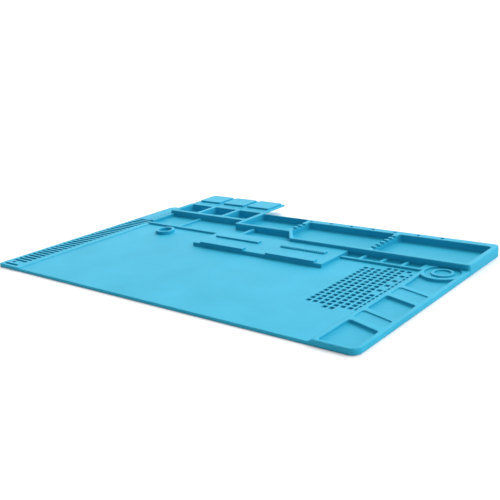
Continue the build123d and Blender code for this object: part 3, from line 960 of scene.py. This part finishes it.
def cut_notches(obj, x0, x1, top, first, count):
    """Half-round notches across a wall's top, with eased edges."""
    cutter = bmesh.new()
    for i in range(count):
        y = first + NOTCH_PITCH * i
        rings = []
        sections = [(x0 - out, grow) for out, grow in NOTCH_FLARE]
        sections += [(x1 + out, grow) for out, grow in reversed(NOTCH_FLARE)]
        for x, grow in sections:
            ring = []
            for k in range(NOTCH_STEPS):
                angle = math.tau * k / NOTCH_STEPS
                radius = NOTCH_R + grow
                across = y + radius * math.cos(angle)
                height = top + radius * math.sin(angle)
                ring.append(cutter.verts.new((x * MM + LOW[0], across * MM + LOW[1], height * MM)))
            rings.append(ring)
        for a, b in zip(rings, rings[1:]):
            for k in range(NOTCH_STEPS):
                after = (k + 1) % NOTCH_STEPS
                cutter.faces.new((a[k], a[after], b[after], b[k]))
        cutter.faces.new(rings[0])
        cutter.faces.new(rings[-1])
    bmesh.ops.recalc_face_normals(cutter, faces=cutter.faces)
    data = bpy.data.meshes.new("notch_cutter")
    cutter.to_mesh(data)
    cutter.free()
    tool = bpy.data.objects.new("notch_cutter", data)
    bpy.context.scene.collection.objects.link(tool)
    modifier = obj.modifiers.new("notches", "BOOLEAN")
    modifier.operation = "DIFFERENCE"
    modifier.solver = "EXACT"
    modifier.object = tool
    apply_modifiers(obj)
    bpy.data.objects.remove(tool)
    bpy.data.meshes.remove(data)
    mesh = bmesh.new()
    mesh.from_mesh(obj.data)
    bmesh.ops.scale(mesh, vec=TO_MM, verts=mesh.verts)
    bmesh.ops.remove_doubles(mesh, verts=mesh.verts, dist=NOTCH_WELD)
    tidy(mesh)
    bmesh.ops.scale(mesh, vec=TO_METRES, verts=mesh.verts)
    mesh.to_mesh(obj.data)
    mesh.free()
    weigh_normals(obj)


# Rear trays -------------------------------------------------------------------------------------

WALL = 4.0
TWEEZER_BACK_WALL = 2.0
TRAY_CORNER = 2.5
TRAYS_FRONT_CORNER = 3.0
TRAYS_BACK_CORNER = 6.0
TRAYS_ROUND = 1.1
SPOOL_RIGHT_WALL = 5.0
SPOOL_CORNER = 3.5
TIP_ROUNDS = (0.45, 0.3)
TIP_STEPS = 24
TRAY_ROUND = 1.0
THIN_WALL_ROUND = 0.45
TRAY_FILLET = 1.3
SEAM_BACK = 3.0    # how far inside the right box's wall the moulding is split
DRIVER_CORNER = (248.4, 232.8)
LEFT_NOTCHES = (239.3, 3)    # the first one's place and how many
RIGHT_NOTCHES = (213.5, 6)


def tip_holes():
    mounts = [m for m in frame["record"]["mounts"] if m["kind"] == "bore"]
    holes = []
    for mount in mounts:
        x = (mount["pos_m"][0] - LOW[0]) / MM
        y = (mount["pos_m"][1] - LOW[1]) / MM
        radius, depth = mount["dims"]["r_mm"], mount["dims"]["length_mm"]
        holes.append((circle(x, y, radius, TIP_STEPS), RIM_TOP - depth, *TIP_ROUNDS))
    return holes


def rear_trays():
    tw_x0, tw_x1, tw_y0, back, _, top = edges("tweezer_tray")
    dl_x0, dl_x1, _, rail_front, _, _ = edges("notched_divider_left")
    dr_x0, dr_x1, front, _, _, _ = edges("notched_divider_right")
    corner = edges("rest_tray_floor")[1]
    bx1, by0, by1 = edges("box_right")[1:4]
    deck_right = edges("platform")[1]
    seam = bx1 - SEAM_BACK
    inner = front + WALL
    outline = rounded([
        (tw_x0, tw_y0, WALL_CORNER, FOOT_SHEET),
        (dl_x1, tw_y0, 0, FOOT_SHEET),
        (corner, front, 0, FOOT_DECK),
        (deck_right, front, 0, RIM),
        (WIDTH, front, TRAYS_FRONT_CORNER, RIM),
        (WIDTH, back, TRAYS_BACK_CORNER, RIM),
        (bx1, back, 0, RIM),
        (bx1, by1, WALL_CORNER, RIM),
        (seam, by1, 0, FLUSH),
        (seam, by0, 0, FLUSH),
        (tw_x0, by0, 0, FOOT_SHEET),
    ])
    tweezer = rectangle(bx1, tw_x1, tw_y0 + WALL, back - TWEEZER_BACK_WALL, TRAY_CORNER)
    driver = rounded([
        (dl_x1, DRIVER_CORNER[1], TRAY_CORNER, RIM),
        (DRIVER_CORNER[0], inner, TRAY_CORNER, RIM),
        (dr_x0, inner, TRAY_CORNER, RIM),
        (dr_x0, rail_front, TRAY_CORNER, RIM),
        (dl_x1, rail_front, TRAY_CORNER, RIM),
    ])
    spool = rectangle(dr_x1, WIDTH - SPOOL_RIGHT_WALL, inner, rail_front, SPOOL_CORNER)
    pockets = [(tweezer, TRAY_FLOOR, THIN_WALL_ROUND, TRAY_FILLET)]
    pockets += [(loop, TRAY_FLOOR, TRAY_ROUND, TRAY_FILLET) for loop in (driver, spool)]
    pockets += tip_holes()
    made = Moulding().block(outline, top, pockets, radius=TRAYS_ROUND, under=BIN_UNDER)
    obj = mat_piece(
        "rear_trays_moulding", made, "tweezer_tray", "driver_tray", "spool_tray", "rear_rail", "tip_sockets",
        "notched_divider_left", "notched_divider_right",
    )
    cut_notches(obj, dl_x0, dl_x1, top, *LEFT_NOTCHES)
    cut_notches(obj, dr_x0, dr_x1, top, *RIGHT_NOTCHES)
    return obj


# Lidded boxes and lids --------------------------------------------------------------------------

BOX_WALL_FRONT = 6.0
BOX_WALL_BACK = 3.0
BOX_OPENINGS = {"left": (37.0, 71.5), "middle": (76.5, 111.0), "right": (116.0, 150.5)}
BOX_FLOOR = 2.0
BOX_CORNER = 2.2
BOX_ROUNDS = (0.9, 1.2)
BOX_RIM = 1.0
LID_CORNER = 4.0
LID_ROUND = 0.5
PLUG_CORNER = 2.0
PLUG_FOOT = 0.3


def box(side):
    x0, x1, y0, y1, _, top = edges("box_" + side)
    flap0 = edges(f"lid_{side}_flap")[0]
    left, right = BOX_OPENINGS[side]
    if side == "left":
        corners = [
            (x0, y0, WALL_CORNER, FOOT_SHEET),
            (x1, y0, 0, FLUSH),
            (x1, y1, 0, FLUSH),
            (flap0, y1, 0, RIM),
            (x0, y1, 0, FOOT_SHEET),
        ]
    elif side == "middle":
        corners = [(x0, y0, 0, FOOT_SHEET), (x1, y0, 0, FLUSH), (x1, y1, 0, FLUSH), (x0, y1, 0, FLUSH)]
    else:
        seam = x1 - SEAM_BACK
        wall = edges("tweezer_tray")[0]
        corners = [
            (x0, y0, 0, FOOT_SHEET),
            (wall, y0, 0, FLUSH),
            (seam, y0, 0, FLUSH),
            (seam, y1, 0, FLUSH),
            (x0, y1, 0, FLUSH),
        ]
    opening = rectangle(left, right, y0 + BOX_WALL_FRONT, y1 - BOX_WALL_BACK, BOX_CORNER)
    made = Moulding().block(rounded(corners), top, [(opening, BOX_FLOOR, *BOX_ROUNDS)], radius=BOX_RIM)
    return mat_piece(f"box_{side}_moulding", made, "box_" + side)


WEB_OVERLAP = 2.2
WEB_THIN = 0.35    # taken off the top and the bottom along the fold
WEB_NARROW = 0.25
WEB_REACH = 1.6    # half the width of the thin band
WEB_EDGE = 0.3
WEB_STEPS = 40


def hinge_web(side):
    """The thin silicone web that the lid folds on, which in the real mat is in one piece with the box and the lid;
    here it is a separate, unattached piece.
    """
    x0, x1, y_hinge, _, z0, z1 = edges(f"lid_{side}_flap")
    y_start = edges("lid_hinges")[2]
    y_end = y_hinge + WEB_OVERLAP
    moulding = Moulding()
    sections = []
    for step in range(WEB_STEPS + 1):
        y = y_start + (y_end - y_start) * step / WEB_STEPS
        near = max(0.0, 1 - abs(y - y_hinge) / WEB_REACH)
        pinch = WEB_THIN * (3 * near * near - 2 * near**3)
        low, high = z0 + pinch, z1 - pinch
        left, right = x0 + WEB_NARROW * near, x1 - WEB_NARROW * near
        ring = [
            (left + WEB_EDGE, low),
            (right - WEB_EDGE, low),
            (right, low + WEB_EDGE),
            (right, high - WEB_EDGE),
            (right - WEB_EDGE, high),
            (left + WEB_EDGE, high),
            (left, high - WEB_EDGE),
            (left, low + WEB_EDGE),
        ]
        sections.append([moulding.mesh.verts.new((x, y, z)) for x, z in ring])
    for a, b in zip(sections, sections[1:]):
        moulding.skirt(a, b)
    moulding.mesh.faces.new(sections[0])
    moulding.mesh.faces.new(sections[-1])
    obj = piece(f"hinge_web_{side}", moulding, LID_BLUE, None, "lid_silicone", "lid_hinges")
    hinge = [j for j in frame["joints"] if j["child"] == f"lid_{side}"][0]
    y = hinge["pos_m"][1]
    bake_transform(obj)
    return obj


def lid(side):
    body = f"lid_{side}"
    x0, x1, y0, y1, z0, z1 = edges(f"{body}_flap")
    outline = rounded([
        (x0, y0 + WEB_OVERLAP, 0, FLUSH),
        (x1, y0 + WEB_OVERLAP, 0, RIM),
        (x1, y1, LID_CORNER, RIM),
        (x0, y1, LID_CORNER, RIM),
    ])
    outline = (outline[0], [FLUSH] + outline[1][1:])
    flap = Moulding().block(outline, z1, base=z0, radius=LID_ROUND)
    piece(f"{body}_flap_moulding", flap, LID_BLUE, body, "lid_silicone", f"{body}_flap")
    x0, x1, y0, y1, z0, z1 = edges(f"{body}_plug")
    loop = rectangle(x0, x1, y0, y1, PLUG_CORNER, (FOOT_SHEET,) * 4)
    plug = Moulding().block(loop, z1, base=z0, radius=LID_ROUND, foot=PLUG_FOOT)
    piece(f"{body}_plug_moulding", plug, LID_BLUE, body, "lid_silicone", f"{body}_plug")


# The object -------------------------------------------------------------------------------------

comb_strip()
work_sheet()
for name, wall, radius, foot in RINGS:
    ring_piece(name, wall, radius, foot)
screw_grid()
column_ramp()
for index in range(4):
    bin_cell(index)
rear_bin_block()
small_bin_row()
platform()
for name in ("front_left_rib", "front_right_rib", "rear_left_rib"):
    rib(name)
ruler_rib()
low_front_rim()
floor_slab("corner_tray_floor")
long_tray_floor()
rest_tray_floor()
upright("corner_tray_divider")
upright("long_tray_end")
upright("corner_tray_side_wall", FOOT_SHEET)
rear_trays()
for side in BOX_OPENINGS:
    box(side)
    hinge_web(side)
    lid(side)
for name in ("comb_magnets", "grid_magnets"):
    obj = frame["nodes"][name]
    obj.data.materials.clear()
    obj.data.materials.append(NICKEL)

# Floor, light and camera ------------------------------------------------------------------------

CAMERA_PLACE = (0.49025, -0.6034, 0.24138)
CAMERA_AHEAD = (-0.624, 0.725, -0.290)
CAMERA_ROLL = 4.06
CAMERA_LENS = 54.74
CAMERA_SHIFT = (0.0385, 0.0022)
LIGHT_PLACE = (0.3, 0.9, 1.6)
LIGHT_TARGET = (0.0, 0.05, 0.0)
LIGHT_SIZE = (2.2, 1.4)
LIGHT_POWER = 10.0
BRIGHT_SIDE = (0.15, 1.0, 0.0)
WORLD_FRONT = 0.2
WORLD_BACK = 1.8
WORLD_BLEND = (-0.6, 0.5)  # where along the bright side's direction the change starts and ends
FLOOR_SIZE = 20.0
FLOOR_DROP = 0.0001
FLOOR_COLOUR = (0.92, 0.92, 0.92, 1.0)
FLOOR_ROUGHNESS = 0.8
SENSOR_WIDTH = 36.0
WHITE = (1.0, 1.0, 1.0, 1.0)


def plain_material(name, colour, roughness):
    material = bpy.data.materials.new(name)
    material.use_nodes = True
    shader = material.node_tree.nodes["Principled BSDF"]
    shader.inputs["Base Color"].default_value = colour
    shader.inputs["Roughness"].default_value = roughness
    return material


def floor():
    data = bpy.data.meshes.new("floor")
    corners = [(x * FLOOR_SIZE, y * FLOOR_SIZE, 0) for x, y in ((-1, -1), (1, -1), (1, 1), (-1, 1))]
    data.from_pydata(corners, [], [(0, 1, 2, 3)])
    obj = bpy.data.objects.new("floor", data)
    obj.location.z = -FLOOR_DROP
    bpy.context.scene.collection.objects.link(obj)
    data.materials.append(plain_material("pale_floor", FLOOR_COLOUR, FLOOR_ROUGHNESS))


def overhead_light():
    light = bpy.data.lights.new("overhead", "AREA")
    light.shape = "RECTANGLE"
    light.size, light.size_y = LIGHT_SIZE
    light.energy = LIGHT_POWER
    obj = bpy.data.objects.new("overhead", light)
    obj.location = LIGHT_PLACE
    obj.rotation_euler = (Vector(LIGHT_TARGET) - Vector(LIGHT_PLACE)).to_track_quat("-Z", "Y").to_euler()
    bpy.context.scene.collection.objects.link(obj)


def camera():
    """Looks at the mat from its front right corner, a little above it."""
    data = bpy.data.cameras.new("camera")
    data.sensor_width = SENSOR_WIDTH
    data.lens = CAMERA_LENS
    data.shift_x, data.shift_y = CAMERA_SHIFT
    obj = bpy.data.objects.new("camera", data)
    ahead = Vector(CAMERA_AHEAD).normalized()
    right = ahead.cross(Vector((0, 0, 1))).normalized()
    up = right.cross(ahead)
    turn = Matrix.Rotation(math.radians(CAMERA_ROLL), 3, ahead)
    axes = Matrix((turn @ right, turn @ up, -ahead)).transposed()
    obj.matrix_world = Matrix.Translation(CAMERA_PLACE) @ axes.to_4x4()
    bpy.context.scene.collection.objects.link(obj)
    bpy.context.scene.camera = obj


def studio_world():
    """A white studio, brighter behind the object than in front of it."""
    world = bpy.data.worlds.new("studio")
    world.use_nodes = True
    tree = world.node_tree
    place = tree.nodes.new("ShaderNodeTexCoord").outputs["Generated"]
    towards = node(tree, "ShaderNodeVectorMath", operation="DOT_PRODUCT")
    tree.links.new(place, towards.inputs[0])
    towards.inputs[1].default_value = Vector(BRIGHT_SIDE).normalized()
    depth = node(tree, "ShaderNodeMapRange", interpolation_type="SMOOTHSTEP")
    depth.inputs["From Min"].default_value, depth.inputs["From Max"].default_value = WORLD_BLEND
    depth.inputs["To Min"].default_value = WORLD_FRONT
    depth.inputs["To Max"].default_value = WORLD_BACK
    tree.links.new(towards.outputs["Value"], depth.inputs["Value"])
    tree.links.new(depth.outputs["Result"], tree.nodes["Background"].inputs["Strength"])
    tree.nodes["Background"].inputs["Color"].default_value = WHITE
    bpy.context.scene.world = world


floor()
camera()
overhead_light()
studio_world()
bpy.context.scene.view_settings.view_transform = "Standard"
